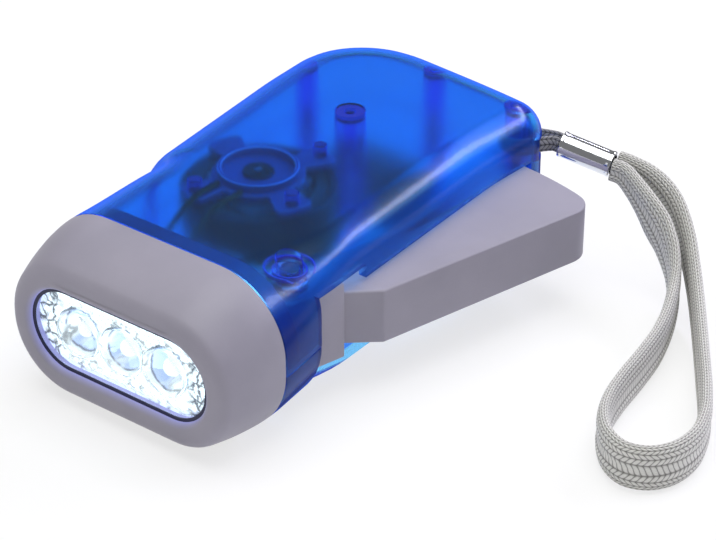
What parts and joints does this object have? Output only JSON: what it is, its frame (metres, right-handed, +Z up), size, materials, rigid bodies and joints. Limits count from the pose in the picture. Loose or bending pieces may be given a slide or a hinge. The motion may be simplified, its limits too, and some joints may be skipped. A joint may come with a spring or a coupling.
{
  "type": "hand crank flashlight",
  "caption": "Squeeze-lever dynamo flashlight: translucent body, lamp nose with a long round-ended window, sprung side lever, flywheel generator inside and a braided wrist strap.",
  "frame": {"origin": "middle of the flat underside of the body", "axes": "+Z up, lamp towards -Y, lever on the +X side"},
  "size_m": [0.1158, 0.1028, 0.032],
  "materials": {
    "blue_shell": "glossy translucent blue",
    "grey_plastic": "satin warm grey",
    "clear_plastic": "clear polished",
    "bright_reflector": "vacuum metallised",
    "chrome": "polished",
    "steel": "plain",
    "dark_plastic": "moulded",
    "white_plastic": "moulded",
    "copper": "enamelled wire",
    "magnet": "sintered",
    "brass": "machined",
    "board": "lacquered",
    "braid": "herringbone braid"
  },
  "bodies": {
    "root": {"upper_shell": "blue_shell", "lower_shell": "blue_shell", "case_screw_1": "steel", "case_screw_2": "steel", "case_screw_3": "steel", "case_screw_4": "steel", "bezel": "grey_plastic", "lens_cover": "clear_plastic", "reflector": "bright_reflector", "led_1": "clear_plastic", "led_2": "clear_plastic", "led_3": "clear_plastic", "led_board": "board", "rectifier": "dark_plastic", "lever_pin": "steel", "return_spring": "steel", "gear_axle": "steel", "button_cell_1": "steel", "button_cell_2": "steel", "button_cell_3": "steel", "cell_cradle": "dark_plastic", "coil_lead_1": "copper", "coil_lead_2": "copper", "cell_lead_1": "dark_plastic", "cell_lead_2": "dark_plastic", "wrist_strap": "braid", "strap_anchor": "braid", "strap_ferrule": "chrome", "yoke_bottom": "steel", "yoke_top": "steel", "coil_bobbin": "white_plastic", "stator_coil": "copper", "bearing_bridge": "dark_plastic", "bridge_bush": "brass"},
    "lever": {"lever": "grey_plastic", "sector_gear": "white_plastic"},
    "drive": {"drive_wheel": "white_plastic", "drive_pinion": "white_plastic", "axle_clip": "steel"},
    "rotor": {"rotor_shaft": "steel", "rotor_pinion": "brass", "flywheel": "dark_plastic", "magnet_ring": "magnet"}
  },
  "joints": [
    {"name": "flywheel_spin", "type": "hinge", "parent": "root", "child": "rotor", "pos_m": [-0.0056, -0.006, 0], "axis": [0, 0, 1], "range_deg": [0, 402.48]},
    {"name": "lever_squeeze", "type": "hinge", "parent": "root", "child": "lever", "pos_m": [0.0186, -0.0275, 0], "axis": [0, 0, 1], "range_deg": [0, 15.6], "stiffness_Nm_per_rad": 0.4, "springref_deg": -11.46, "deforming": ["return_spring"]},
    {"name": "gear_spin", "type": "hinge", "parent": "root", "child": "drive", "pos_m": [0.0057, -0.00162, 0], "axis": [0, 0, 1], "range_deg": [-134.16, 0]}
  ],
  "couplings": [
    {"joint": "lever_squeeze", "follows": "flywheel_spin", "ratio": 0.03876},
    {"joint": "gear_spin", "follows": "flywheel_spin", "ratio": -0.33333}
  ]
}
